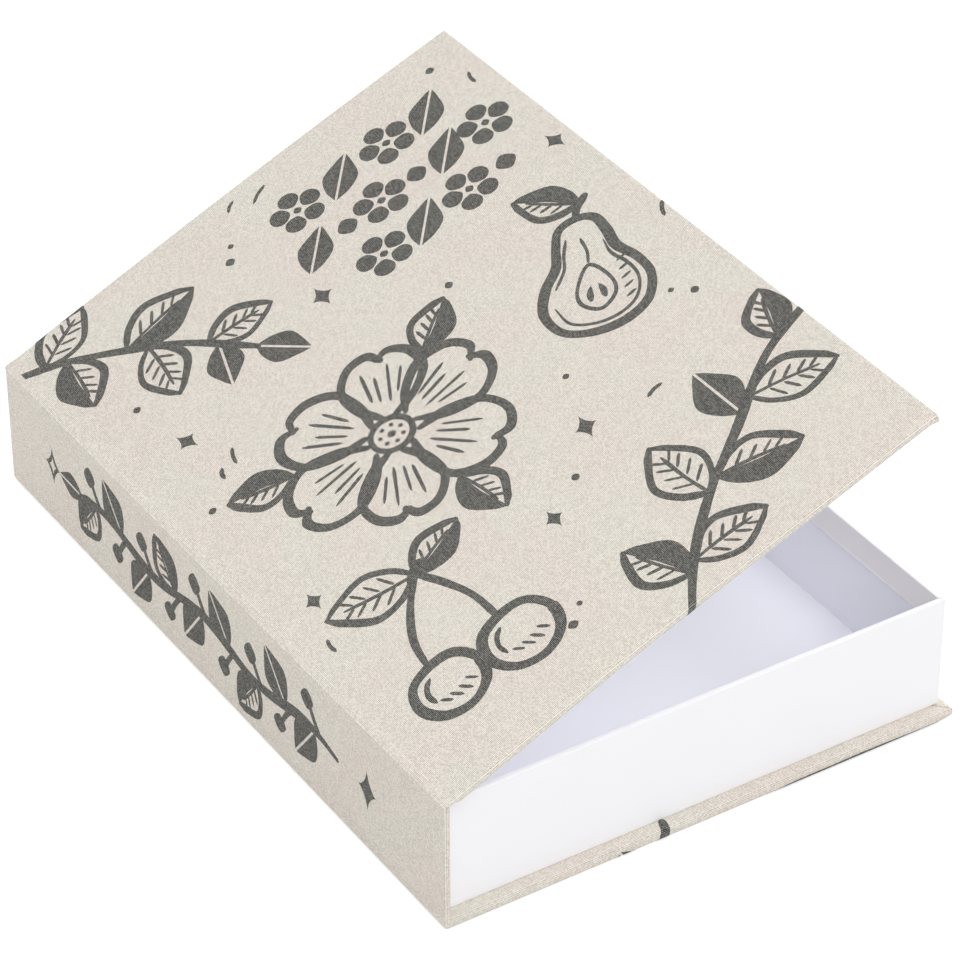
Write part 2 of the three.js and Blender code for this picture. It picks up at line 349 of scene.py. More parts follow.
def pulp_material(name, clouds, dark, light, roughness, gloss, fibres=None, tint=None):
    material, tree = new_material(name)
    mottled = {"Fac": object_noise(tree, *clouds), "Color1": dark, "Color2": light}
    colour = add_node(tree, "MixRGB", mottled).outputs[0]
    if tint:
        colour = tinted(tree, colour, tint(tree))
    feeds = {"Base Color": colour, "Roughness": roughness, "Specular IOR Level": gloss}
    if fibres:
        scale, detail, strength, height = fibres
        relief = {
            "Height": object_noise(tree, scale, detail),
            "Strength": strength,
            "Distance": height,
        }
        feeds["Normal"] = add_node(tree, "Bump", relief).outputs[0]
    finish_material(tree, feeds)
    return material


def dress(piece, material):
    piece.data.materials.clear()
    piece.data.materials.append(material)


greyboard = pulp_material(
    "greyboard",
    clouds=(900, 4),
    dark=(0.22, 0.20, 0.175, 1),
    light=(0.34, 0.32, 0.285, 1),
    roughness=0.9,
    gloss=0.3,
    fibres=(900, 4, 0.4, 0.05 * mm),
)
for board in (back_board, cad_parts["spine_board"], lid_board):
    dress(board, greyboard)
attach(back_board, "base")
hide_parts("back_board")
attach(lid_board, "lid")
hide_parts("lid_board")


# Book cloth covers the case in one piece: a plain weave of slubby natural yarn, dyed beige
# and glued to the boards. It is wrapped round every free edge and turned in 15 mm, with
# a mitred seam on each corner. Here it is two meshes, which part on the cloth joint.
right_angle = math.radians(90)
spine_thickness = 2.0 * mm
joint_thickness = 0.8 * mm
edge_round = 1.2 * mm
lid_edge_round = 0.9 * mm
round_share = 0.42
round_steps = 5
round_turns = [right_angle * step / round_steps for step in range(round_steps + 1)]
long_steps = 5
edge_margin = 2 * mm
turn_in = 15 * mm
seam_width = 0.36 * mm
seam_snap = 1e-7
corner_cuts = (3.5 * mm, 6.5 * mm, 11 * mm)
spine_top = 43.0 * mm
fold_round = 1.3 * mm
fold_steps = 6
joint_middle = lid_start / 2
back_join = 40 * mm
lid_join = 30 * mm
near_spine = -80 * mm
tip_reach = 2.4 * mm
tip_droop = 1.3 * mm
tip_below = -0.6 * mm
yarn_pitch = 0.43
thick_weft = 1.3
yarn_relief = 0.06 * mm
slub_run = 0.16
slub_shift = 7.31
crossing_share = 0.41
slub_share = 0.06
# How strongly the painted shade of the weave's relief shows in the cloth's colour.
relief_shade_share = 1.6
fleck_level = 0.265
blotch_scale = 40.0
end_facing = 0.72
same_place = 2e-6
same_point = 5e-6


def selected_by(piece, test):
    sketch = bmesh.from_edit_mesh(piece.data)
    sketch.select_mode = {"FACE"}
    for face in sketch.faces:
        face.select_set(False)
    for face in sketch.faces:
        if test(face.calc_center_median(), face.normal):
            face.select_set(True)
    sketch.select_flush_mode()
    bmesh.update_edit_mesh(piece.data)


def cut_slit(piece, corner, across, width, test):
    for shift in (-width / 2, width / 2):
        selected_by(piece, test)
        bpy.ops.mesh.bisect(
            plane_co=corner + across * shift, plane_no=across, use_fill=False, threshold=seam_snap
        )


def wrap_rows(depth, round_off):
    radius = min(round_off, depth * round_share)
    rows = [(-half_length * step / long_steps, 0.0) for step in range(long_steps)]
    rows.append((-half_length + radius + edge_margin, 0.0))
    for angle in round_turns:
        along = -half_length + radius - radius * math.sin(angle)
        rows.append((along, radius * (1 - math.cos(angle))))
    for angle in round_turns:
        along = -half_length + radius * (1 - math.cos(angle))
        rows.append((along, depth - radius + radius * math.sin(angle)))
    rows.append((-half_length + turn_in, depth))
    return rows


def new_sheet(name, points, faces):
    mesh = bpy.data.meshes.new(name)
    mesh.from_pydata(points, [], faces)
    return into_scene(name, mesh)


def wrapped_strip(name, stations, round_off):
    points = []
    for outside, inside in stations:
        outside = Vector(outside)
        inside = Vector(inside)
        depth = (inside - outside).length
        inward = (inside - outside) / depth
        tail_rows = wrap_rows(depth, round_off)
        head_rows = [(-along, down) for along, down in tail_rows[1:]]
        for along, down in tail_rows[::-1] + head_rows:
            place = outside + inward * down
            points.append((place.x, along, place.y))
    row = len(points) // len(stations)
    faces = []
    for station in range(len(stations) - 1):
        for step in range(row - 1):
            corner = station * row + step
            faces.append((corner, corner + 1, corner + row + 1, corner + row))
    return new_sheet(name, points, faces)


def covered_slab(name, low, high, inner_side, join, round_off):
    slab = new_block(name, low, high)
    start_edit()
    bpy.ops.mesh.bevel(offset=round_off, segments=round_steps, affect="EDGES")
    cut_at("x", join, remove_behind=True)
    for reach in corner_cuts + (turn_in,):
        cut_at("x", high[0] - reach)
    for side in (-1, 1):
        cut_at("y", side * (half_length - turn_in))
        cut_at("y", side * (half_length - round_off - edge_margin))
        for step in range(long_steps):
            cut_at("y", side * half_length * step / long_steps)
        for reach in corner_cuts:
            cut_at("y", side * (half_length - reach))
        corner = Vector((high[0], side * half_length, 0))
        across = Vector((1, -side, 0)).normalized()
        cut_slit(slab, corner, across, seam_width, lambda middle, normal: (
            normal.z * inner_side > 0.05
            and middle.x > high[0] - turn_in
            and middle.y * side > half_length - turn_in
        ))
    selected_by(slab, lambda middle, normal: (
        normal.z * inner_side > 0.9
        and middle.x < high[0] - turn_in
        and abs(middle.y) < half_length - turn_in
    ))
    bpy.ops.mesh.delete(type="FACE")
    selected_by(slab, lambda middle, normal: (
        normal.z * inner_side > 0.5
        and abs((high[0] - middle.x) - (half_length - abs(middle.y))) < 0.6 * seam_width
    ))
    bpy.ops.mesh.delete(type="FACE")
    end_edit()
    return slab


def join_cloth(name, parts):
    select_only(parts[0])
    parts[1].select_set(True)
    bpy.ops.object.join()
    cloth = parts[0]
    cloth.name = name
    start_edit()
    bpy.ops.mesh.select_all(action="SELECT")
    bpy.ops.mesh.remove_doubles(threshold=same_point)
    bpy.ops.mesh.normals_make_consistent(inside=False)
    end_edit()
    return cloth


def lay_weave(cloth, flat_place):
    weave_map = cloth.data.uv_layers.new(name="cloth_place")
    for face in cloth.data.polygons:
        for corner in face.loop_indices:
            point = cloth.data.vertices[cloth.data.loops[corner].vertex_index].co
            weave_map.data[corner].uv = flat_place(point, face.normal, face.center)


def give_thickness(piece, thickness):
    select_only(piece)
    bpy.ops.object.modifier_add(type="SOLIDIFY")
    layer = piece.modifiers[-1]
    layer.thickness = thickness
    layer.offset = -1
    layer.use_even_offset = True
    bpy.ops.object.modifier_apply(modifier=layer.name)
    bpy.ops.object.shade_smooth_by_angle(angle=math.radians(50))
    bpy.ops.object.modifier_add(type="WEIGHTED_NORMAL")
    piece.modifiers[-1].keep_sharp = True
    bpy.ops.object.modifier_apply(modifier=piece.modifiers[-1].name)


def settle_base(piece):
    for point in piece.data.vertices:
        place = pulled_up(point.co)
        point.co = knocked_in(place) if place.x > 0 else place


# The back cover and the spine: flat cover, square corner, upright spine, then the fold
# that leans over to the middle of the cloth joint.
fold_lean = right_angle - lid_angle
fold_meet_height = lid_crease.z - (half_width + lid_crease.x) * math.tan(lid_angle)
fold_meet = Vector((-half_width, fold_meet_height))
fold_start = fold_meet.y - fold_round * math.tan(fold_lean / 2)
fold_centre = Vector((-half_width + fold_round, fold_start))
lid_way = Vector((math.cos(lid_angle), math.sin(lid_angle)))
lid_inward = Vector((math.sin(lid_angle), -math.cos(lid_angle)))
crease_point = Vector((lid_crease.x, lid_crease.z))
inner_corner = (-half_width + spine_thickness, cover_thickness)
back_rows = (back_join, -40 * mm, -86 * mm)
spine_rows = (10 * mm, 22 * mm, 34 * mm, spine_top - 2 * mm, spine_top)
crease_depths = ((1.2 * mm, 0.9 * mm), (joint_middle, 1.15 * mm))

base_stations = [((across, 0), (across, cover_thickness)) for across in back_rows]
base_stations.append(((inner_corner[0], 0), inner_corner))
for angle in round_turns:
    across = -half_width + edge_round - edge_round * math.sin(angle)
    base_stations.append(((across, edge_round - edge_round * math.cos(angle)), inner_corner))
base_stations.append(((-half_width, cover_thickness), inner_corner))
for height in spine_rows:
    base_stations.append(((-half_width, height), (-half_width + spine_thickness, height)))
for step in range(fold_steps + 1):
    angle = fold_lean * step / fold_steps
    outward = Vector((-math.cos(angle), math.sin(angle)))
    base_stations.append((
        fold_centre + outward * fold_round,
        fold_centre + outward * (fold_round - joint_thickness),
    ))
for along, depth in crease_depths:
    outside = crease_point + lid_way * along
    base_stations.append((outside, outside + lid_inward * depth))
spine_part = wrapped_strip("spine_part", base_stations, edge_round)
back_part = covered_slab(
    "back_part",
    (-half_width, -half_length, 0),
    (half_width, half_length, cover_thickness),
    1,
    back_join,
    edge_round,
)
base_cloth = join_cloth("back_and_spine_cloth", [back_part, spine_part])


def base_cloth_place(point, normal, middle):
    side = 1 if middle.y > 0 else -1
    on_spine = middle.x < inner_corner[0] + same_place
    if abs(normal.y) > end_facing:
        down = point.x + half_width if on_spine else point.z
        along = point.z if on_spine else -(point.x + half_width)
        return (along, side * (half_length + down))
    if on_spine and edge_round / 2 < middle.z < fold_start:
        if normal.x > 0.5:
            return (point.z, side * (2 * half_length + spine_thickness - abs(point.y)))
        return (point.z, point.y)
    if on_spine or middle.x < near_spine and middle.z > spine_top:
        run = max(0, (Vector((point.x, point.z)) - fold_meet).dot(lid_way))
        return (fold_meet.y + run, point.y)
    if normal.z < -0.5:
        return (-(point.x + half_width), point.y)
    if normal.x > end_facing:
        return (-case_width - point.z, point.y)
    if half_width - point.x < half_length - abs(point.y) - same_place:
        return (-2 * case_width - cover_thickness + point.x + half_width, point.y)
    return (-(point.x + half_width), side * (2 * half_length + cover_thickness - abs(point.y)))


lay_weave(base_cloth, base_cloth_place)
give_thickness(base_cloth, cloth_thickness)
settle_base(base_cloth)

# The lid's cloth runs from the middle of the joint over the whole lid, and is bowed with it.
lid_end = lid_start + lid_width
lid_depths = (
    (joint_middle, 1.15 * mm),
    (lid_start - 1.2 * mm, 1.5 * mm),
    (lid_start - 0.6 * mm, 1.9 * mm),
    (lid_start, 2.25 * mm),
    (lid_start + 0.25 * mm, 2.4 * mm),
    (lid_start + 0.6 * mm, lid_thickness),
    (lid_start + 1.4 * mm, lid_thickness),
    (lid_join, lid_thickness),
)
lid_stations = [((along, 0), (along, -depth)) for along, depth in lid_depths]
joint_part = wrapped_strip("joint_part", lid_stations, lid_edge_round)
lid_part = covered_slab(
    "lid_part",
    (0, -half_length, -lid_thickness),
    (lid_end, half_length, 0),
    -1,
    lid_join,
    lid_edge_round,
)
lid_cloth = join_cloth("lid_cloth_bowed", [lid_part, joint_part])


def lid_cloth_place(point, normal, middle):
    side = 1 if middle.y > 0 else -1
    start = fold_meet.y
    if abs(normal.y) > end_facing:
        return (start + point.x, side * (half_length - point.z))
    if normal.z > 0.5:
        return (start + point.x, point.y)
    if normal.x > end_facing:
        return (start + lid_end - point.z, point.y)
    if lid_end - point.x < half_length - abs(point.y) - same_place:
        return (start + 2 * lid_end + lid_thickness - point.x, point.y)
    return (start + point.x, side * (2 * half_length + lid_thickness - abs(point.y)))


lay_weave(lid_cloth, lid_cloth_place)
give_thickness(lid_cloth, cloth_thickness)
for point in lid_cloth.data.vertices:
    reach = Vector((lid_end - point.co.x, half_length - abs(point.co.y))).length
    if point.co.z < tip_below:
        point.co.z -= tip_droop * max(0, 1 - reach / tip_reach)
cut_for_bow()
bend_and_raise_lid(lid_cloth)

# The weave is worked out from the cloth's own flat place, so it runs on round every edge.
# Each yarn has its own tone, each crossing a little of its own, and wide soft blotches lie
# under both. Where the warp lies over the weft the colour is painted lighter, and where the
# weft lies over it darker: this is painted shade of the weave's relief, in place of light
# that falls on it from one side.
weave = bpy.data.node_groups.new("book_cloth_weave", "ShaderNodeTree")
weave_sockets = {"Pitch": "INPUT", "Height": "OUTPUT", "Fleck with painted shade": "OUTPUT", "Blotch": "OUTPUT"}
for socket, way in weave_sockets.items():
    weave.interface.new_socket(socket, in_out=way, socket_type="NodeSocketFloat")
weave_in = weave.nodes.new("NodeGroupInput")
weave_out = weave.nodes.new("NodeGroupOutput")
flat_map = add_node(weave, "UVMap", uv_map="cloth_place")


def yarn(operation, *values):
    return figure(weave, operation, *values)


flat_axes = add_node(weave, "SeparateXYZ", {"Vector": flat_map.outputs[0]})
per_metre = yarn("DIVIDE", 1 / mm, weave_in.outputs["Pitch"])
across = yarn("MULTIPLY", flat_axes.outputs["X"], per_metre)
down = yarn("MULTIPLY", flat_axes.outputs["Y"], yarn("DIVIDE", per_metre, thick_weft))
across_yarn = yarn("FLOOR", across)
down_yarn = yarn("FLOOR", down)


def yarn_height(side_way, long_way, yarn_count):
    crown = yarn("ABSOLUTE", yarn("SINE", yarn("MULTIPLY", side_way, math.pi)))
    half_turns = yarn("MULTIPLY", yarn_count, math.pi)
    wave = yarn("SINE", yarn("ADD", yarn("MULTIPLY", long_way, math.pi), half_turns))
    return yarn("MULTIPLY", crown, yarn("MULTIPLY_ADD", wave, 0.5, 0.5))


warp_height = yarn_height(across, down, across_yarn)
weft_height = yarn_height(down, across, down_yarn)
# Warp height minus weft height drives painted shade: lighter where the warp is on top, darker where the
# weft is.
warp_over_painted_shade = yarn("SUBTRACT", warp_height, weft_height)
weave.links.new(yarn("MAXIMUM", warp_height, weft_height), weave_out.inputs["Height"])

crossing = add_node(weave, "CombineXYZ", {"X": across_yarn, "Y": down_yarn, "Z": 3.0})
crossing_shade = add_node(
    weave, "TexWhiteNoise", {"Vector": crossing.outputs[0]}, noise_dimensions="3D"
)
slubs = []
for long_way, cross_way, seed in ((down, across_yarn, 11.0), (across, down_yarn, 29.0)):
    slub_place = add_node(weave, "CombineXYZ", {
        "X": yarn("MULTIPLY", long_way, slub_run),
        "Y": yarn("MULTIPLY", cross_way, slub_shift),
        "Z": seed,
    })
    slub_feeds = {"Vector": slub_place.outputs[0], "Scale": 1.0, "Detail": 1.0}
    slubs.append(add_node(weave, "TexNoise", slub_feeds).outputs["Fac"])
yarn_shade = yarn("MULTIPLY", yarn("ADD", *slubs), 0.5)
yarn_fleck = yarn(
    "ADD",
    yarn("MULTIPLY", crossing_shade.outputs["Value"], crossing_share),
    yarn("MULTIPLY_ADD", yarn_shade, slub_share, fleck_level),
)
# The crossings' and yarns' own tone, plus the painted shade of the weave's relief.
fleck_with_painted_shade = yarn("ADD", yarn_fleck, yarn("MULTIPLY", warp_over_painted_shade, relief_shade_share))
weave.links.new(fleck_with_painted_shade, weave_out.inputs["Fleck with painted shade"])
blotch_feeds = {"Vector": flat_map.outputs[0], "Scale": blotch_scale, "Detail": 1.0}
blotch = add_node(weave, "TexNoise", blotch_feeds)
weave.links.new(blotch.outputs["Fac"], weave_out.inputs["Blotch"])


def woven_material(name, dark, light, warm, cool, bump, dark_share=0.0):
    material, tree = new_material(name)
    group = add_node(tree, "Group", node_tree=weave)
    group.inputs["Pitch"].default_value = yarn_pitch
    share_feeds = {"Value": group.outputs["Fleck with painted shade"], "From Min": dark_share, "From Max": 1.0}
    light_share = add_node(tree, "MapRange", share_feeds).outputs["Result"]
    shade = add_node(tree, "MixRGB", {"Fac": light_share, "Color1": dark, "Color2": light})
    hue = add_node(tree, "ValToRGB", {"Fac": group.outputs["Blotch"]})
    hue.color_ramp.elements[0].position = 0.35
    hue.color_ramp.elements[0].color = warm
    hue.color_ramp.elements[1].position = 0.65
    hue.color_ramp.elements[1].color = cool
    relief = {"Height": group.outputs["Height"], "Strength": bump, "Distance": yarn_relief}
    finish_material(tree, {
        "Base Color": tinted(tree, shade.outputs[0], hue.outputs["Color"]),
        "Normal": add_node(tree, "Bump", relief).outputs[0],
        "Roughness": 0.88,
        "Specular IOR Level": 0.25,
    })
    return material


beige_cloth = woven_material(
    "beige_book_cloth",
    dark=(0.42, 0.392, 0.352, 1),
    light=(1.0, 0.95, 0.875, 1),
    warm=(1.0, 0.965, 0.955, 1),
    cool=(0.985, 0.99, 0.965, 1),
    bump=0.7,
)
dress(base_cloth, beige_cloth)
dress(lid_cloth, beige_cloth)
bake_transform(base_cloth)
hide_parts("back_cloth", "spine_cloth", "joint_cloth")
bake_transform(lid_cloth)
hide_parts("lid_cloth")


# The print is charcoal ink, brushed on the cloth before it covers the case, so it runs over
# the edges. It is a garden pattern in thick and thin lines: a blossom, a halved pear, cherries,
# leafy branches and a block of bold florets, with a vine and two sparkles on the spine.
ink_lift = 0.035 * mm
ink_depth = 0.06 * mm
ink_end = 1.6 * mm
point_spacing = 0.8
cap_points = 12
near_size = 2
sheet_reach = (230, 170)
sheet_snap = 1e-4
quarter_steps = 4
past_edge = 4 * mm
tau = math.tau
eighths = [math.pi / 4 * step for step in range(8)]
crease_rows = (-1.2, -0.8, -0.4, 0, 0.4, 0.8, 1.4)
spine_print_top = 40 * mm
hand = random.Random(5)


def placed(across, up, turn=0.0, size=1.0):
    cosine = math.cos(math.radians(turn)) * size
    sine = math.sin(math.radians(turn)) * size

    def put(point):
        x, y = point
        return Vector((across + x * cosine - y * sine, up + x * sine + y * cosine))

    return put


def flowing(knots, closed):
    if closed:
        knots = [knots[-1]] + knots + knots[:2]
    else:
        knots = [2 * knots[0] - knots[1]] + knots + [2 * knots[-1] - knots[-2]]
    places = []
    for before, start, end, after in zip(knots, knots[1:], knots[2:], knots[3:]):
        count = max(2, round((end - start).length / point_spacing))
        for step in range(count):
            share = step / count
            places.append(0.5 * (
                2 * start
                + (end - before) * share
                + (2 * before - 5 * start + 4 * end - after) * share ** 2
                + (3 * start - before - 3 * end + after) * share ** 3
            ))
    if not closed:
        places.append(knots[-2])
    return places


def curved(put, points, closed=False):
    return flowing([put(point) for point in points], closed)


def round_points(angles, radius, x=0, y=0):
    return [(x + radius * math.cos(angle), y + radius * math.sin(angle)) for angle in angles]


def brush_line(sheet, put, points, width, tip=0.6, closed=False):
    places = curved(put, points, closed)
    count = len(places)
    phase = hand.uniform(0, 6)
    wave = hand.uniform(0.10, 0.2)
    left = []
    right = []
    for index, place in enumerate(places):
        if closed:
            ahead = places[(index + 1) % count] - places[index - 1]
            share = 1
        else:
            ahead = places[min(index + 1, count - 1)] - places[max(index - 1, 0)]
            share = min(1, 2.6 * math.sin(math.pi * index / (count - 1)))
        swell = 1 + 0.12 * math.sin(index * wave + phase) + hand.uniform(-0.025, 0.025)
        half = width / 2 * (tip + (1 - tip) * share) * swell
        side = Vector((-ahead.y, ahead.x)).normalized() * half
        left.append(place + side)
        right.append(place - side)
    for index in range(count if closed else count - 1):
        after = (index + 1) % count
        sheet.append([right[index], right[after], left[after]])
        sheet.append([right[index], left[after], left[index]])
    if not closed:
        for end in (0, -1):
            radius = (left[end] - right[end]).length / 2
            sheet.append([
                places[end] + radius * Vector((math.cos(angle), math.sin(angle)))
                for angle in (tau * step / cap_points for step in range(cap_points))
            ])


def solid(sheet, put, points):
    sheet.append(curved(put, points, True))


def dot(sheet, put, x, y, radius):
    wide = radius * hand.uniform(0.92, 1.08)
    solid(sheet, put, [(x + wide, y), (x, y + radius), (x - wide, y), (x, y - radius)])


def sparkle(sheet, put, tall, wide, hollow=0.0):
    outline = []
    for step in range(40):
        angle = tau * step / 40
        outline.append(Vector((wide * math.cos(angle) ** 3, tall * math.sin(angle) ** 3)))
    if not hollow:
        sheet.append([put(point) for point in outline])
        return
    for start, end in zip(outline, outline[1:] + outline[:1]):
        sheet.append([put(start), put(end), put(end * hollow), put(start * hollow)])


def leaf(sheet, put, long, wide, look):
    shoulders = ((0, 0), (0.22, 0.7), (0.52, 1), (0.84, 0.45), (1, 0))
    upper = [(x * long, y * wide) for x, y in shoulders]
    lower = [(x, -0.92 * y) for x, y in upper]
    if look == "solid":
        gap = 0.45
        for side in (1, -1):
            edge = [(x, side * max(gap, y)) for x, y in upper]
            midrib = [(share * long, side * gap) for share in (0.96, 0.5, 0.1)]
            sheet.append(curved(put, edge) + [put(point) for point in midrib])
        return
    brush_line(sheet, put, upper, 2.8)
    brush_line(sheet, put, lower, 2.2)
    brush_line(sheet, put, [(0, 0), (0.4 * long, 0.05 * wide), (0.8 * long, 0)], 1.3, 0.5)
    for share in (0.22, 0.38, 0.54, 0.68):
        for side in (1, -1):
            if look == "half" and side < 0:
                continue
            start = ((share + 0.02) * long, side * 0.08 * wide)
            end = ((share + 0.15) * long, side * (0.72 - 0.45 * share) * wide)
            brush_line(sheet, put, [start, end], 1.05, 0.5)
    if look == "half":
        edge = [(x, 0.88 * y) for x, y in lower]
        sheet.append(curved(put, edge) + [put((0.5 * long, -0.7))])


def branch(sheet, stem, width, leaves):
    way = flowing([Vector(point) for point in stem], False)
    brush_line(sheet, placed(0, 0), stem, width, 0.7)
    for share, turn, long, wide, look in leaves:
        index = min(len(way) - 2, round(share * (len(way) - 1)))
        ahead = way[index + 1] - way[index]
        stem_way = math.degrees(math.atan2(ahead.y, ahead.x))
        leaf(sheet, placed(way[index].x, way[index].y, stem_way + turn), long, wide, look)


def heading(start, end):
    return math.degrees(math.atan2(end.y - start.y, end.x - start.x))


def floret(sheet, put, size):
    petal = ((2.2, 0), (4.4, 2.9), (7.2, 2.5), (8.3, 0), (7.2, -2.5), (4.4, -2.9))
    for index in range(5):
        turned = placed(0, 0, 360 * index / 5 + 90)
        solid(sheet, put, [turned((x * size, y * size)) for x, y in petal])
    dot(sheet, put, 0, 0, 1.3 * size)


def blossom(sheet, put):
    left_side = ((8, -2.5), (15, -10), (25, -14.5), (34, -11), (37.5, -4), (34.5, 0.6))
    right_side = ((34.0, -0.8), (37.8, 3.8), (34.5, 11), (25, 14), (15, 9.5), (8.5, 2.5))
    for index in range(6):
        turned = placed(0, 0, 60 * index + hand.uniform(-4, 4))
        reach = hand.uniform(0.94, 1.05)
        for side in (left_side, right_side):
            brush_line(sheet, put, [turned((x * reach, y * reach)) for x, y in side], 3.3)
        for across, start, end in ((-6, 17, 27), (-2.3, 14, 30), (1.9, 15, 26), (5.6, 16, 29)):
            line = [turned((start, across * 0.75)), turned((end, across * 1.15))]
            brush_line(sheet, put, line, 1.15, 0.4)
    brush_line(sheet, put, round_points(eighths, 7), 2.2, closed=True)
    for index in range(7):
        place = placed(0, 0, 360 * index / 7)((3.9, 0))
        dot(sheet, put, place.x, place.y, 0.9)
    dot(sheet, put, 0, 0, 1.5)


def halved_pear(sheet, put):
    outline = [
        (0, 27), (5.5, 25), (8, 18), (9.5, 10), (14.5, 2), (17, -7), (14, -16.5), (6, -21.5),
        (-4, -21.8), (-13, -17.5), (-17, -8), (-14.8, 1.5), (-9.8, 9.5), (-8.3, 17), (-6, 24.5),
    ]
    brush_line(sheet, put, outline, 3.4, closed=True)
    for skin in (outline[2:11], outline[11:]):
        brush_line(sheet, put, [(x * 0.78, y * 0.82 - 0.6) for x, y in skin], 1.2, 0.4)
    core = [(0, 6), (5.2, -2), (5.4, -9), (0, -13.5), (-5.4, -9), (-5.2, -2)]
    brush_line(sheet, put, core, 1.4, closed=True)
    seed = ((1.2, -3), (3.2, -6), (2.6, -9.4), (1.2, -8))
    for side in (1, -1):
        solid(sheet, put, [(x * side, y) for x, y in seed])
    brush_line(sheet, put, [(0, 6.5), (0.6, 12), (-0.3, 18)], 1.2, 0.4)
    for y in (4.5, 0.5, -3.5, -7.5, -11.5):
        brush_line(sheet, put, [(8.4, y - 1), (11.2, y + 0.6)], 1.05, 0.5)
    brush_line(sheet, put, [(0, 26.5), (1.2, 31), (4.6, 35.5)], 3.0, 0.75)
    crown = put((2.4, 33))
    stem_way = heading(put((2.4, 32)), crown)
    leaf(sheet, placed(crown.x, crown.y, stem_way + 62), 23, 7.2, "half")


def cherries(sheet, put):
    for x, y, radius in ((-12, -14, 11.5), (13, -19, 12.2)):
        ring = round_points(eighths, radius, x, y)
        ring[2] = (ring[2][0], y + 0.9 * radius)
        brush_line(sheet, put, ring, 3.4, closed=True)
        shine = [math.radians(turn) for turn in (195, 165, 135, 110)]
        brush_line(sheet, put, round_points(shine, 0.62 * radius, x, y), 1.7, 0.4)
        for shift in (-5.5, -2.2, 1.1, 4.4):
            end = (x + shift + 2.2, y - 7.4 + abs(shift) * 0.4)
            brush_line(sheet, put, [(x + shift, y - 3.4 + abs(shift) * 0.2), end], 1.1, 0.5)
    brush_line(sheet, put, [(-12, -4), (-8, 8), (0, 19), (9, 27)], 2.5, 0.7)
    brush_line(sheet, put, [(13, -8.5), (14, 5), (12, 17), (9, 27)], 2.5, 0.7)
    brush_line(sheet, put, [(6, 25.5), (9, 28), (12.5, 29.5)], 4.0, 0.8)
    joint = put((9, 27))
    joint_way = heading(joint, put((10, 27)))
    leaf(sheet, placed(joint.x, joint.y, joint_way + 158), 30, 9.5, "veined")
    leaf(sheet, placed(joint.x, joint.y, joint_way + 14), 22, 7, "half")


lid_sheet = []
blossom(lid_sheet, placed(70, -3, 8))
for turn in (38, 158, 278):
    near = placed(70, -3, turn)((33, 0))
    leaf(lid_sheet, placed(near.x, near.y, turn), 22, 7.5, "half")
branch(
    lid_sheet,
    [(-4, 128), (14, 118), (32, 103), (47, 88), (62, 66)],
    3.0,
    (
        (0.16, 58, 26, 8.5, "veined"),
        (0.24, -62, 25, 8.5, "half"),
        (0.47, 50, 30, 9.5, "half"),
        (0.56, -55, 27, 8.5, "veined"),
        (0.80, 48, 24, 7.5, "veined"),
        (0.84, -52, 20, 6.5, "solid"),
        (1.0, 2, 20, 6.5, "solid"),
    ),
)
for row_height, row in (
    (106, (("floret", 104), ("leaf", 122), ("floret", 141), ("leaf", 158))),
    (85, (
        ("leaf", 98), ("dot", 111), ("floret", 125), ("dot", 139.5), ("leaf", 152), ("floret", 168),
    )),
    (64, (("floret", 112), ("leaf", 129), ("floret", 147), ("dot", 162))),
):
    for shape, across in row:
        if shape == "floret":
            floret(lid_sheet, placed(across, row_height, hand.uniform(-12, 12)), 1.2)
        elif shape == "leaf":
            leaf(lid_sheet, placed(across - 7, row_height - 7.5, 48), 21, 6.2, "solid")
        else:
            dot(lid_sheet, placed(across, row_height), 0, 0, 3.8)
halved_pear(lid_sheet, placed(150, -3, -24, 1.05))
cherries(lid_sheet, placed(37, -84, 6))
branch(
    lid_sheet,
    [(88, -140), (103, -121), (122, -104), (143, -90), (166, -74), (190, -66)],
    3.2,
    (
        (0.14, 62, 25, 8.5, "half"),
        (0.18, -48, 27, 8.5, "veined"),
        (0.38, 56, 29, 9.5, "veined"),
        (0.43, -52, 28, 9.0, "half"),
        (0.62, 54, 25, 8.0, "solid"),
        (0.67, -55, 29, 9.0, "veined"),
        (0.86, 50, 22, 7.0, "half"),
    ),
)
for across, up, tall, turn in (
    (88, 66, 5.5, 0), (24, 52, 5.0, 20), (112, -52, 5.5, -10), (84, -74, 4.5, 0), (178, 58, 5.0, 12),
    (16, -38, 4.5, 0),
):
    sparkle(lid_sheet, placed(across, up, turn), tall, tall * 0.7)
for across, up, radius in (
    (20, 78, 1.5), (76, 106, 1.8), (80, 112, 1.2), (118, 34, 1.6), (14, 20, 1.4), (98, -66, 1.5),
    (64, -112, 1.7), (70, -107, 1.1), (168, -34, 1.6), (163, -28, 1.1), (170, 122, 1.6), (120, -30, 1.2),
):
    dot(lid_sheet, placed(across, up), 0, 0, radius)
for across, up, turn, long in (
    (96, 122, 30, 8), (88, 126, 40, 5), (30, 30, 70, 7), (24, 28, 70, 4.5), (177, 104, 80, 6),
    (132, -58, 10, 6), (10, -60, 85, 6), (181, 0, 60, 7),
):
    brush_line(lid_sheet, placed(across, up, turn), [(0, 0), (long / 2, 0.5), (long, 0)], 1.4, 0.4)


def vine_height(along):
    return 22.5 + 2.4 * math.sin((along + 75) / 160 * tau * 2.5)


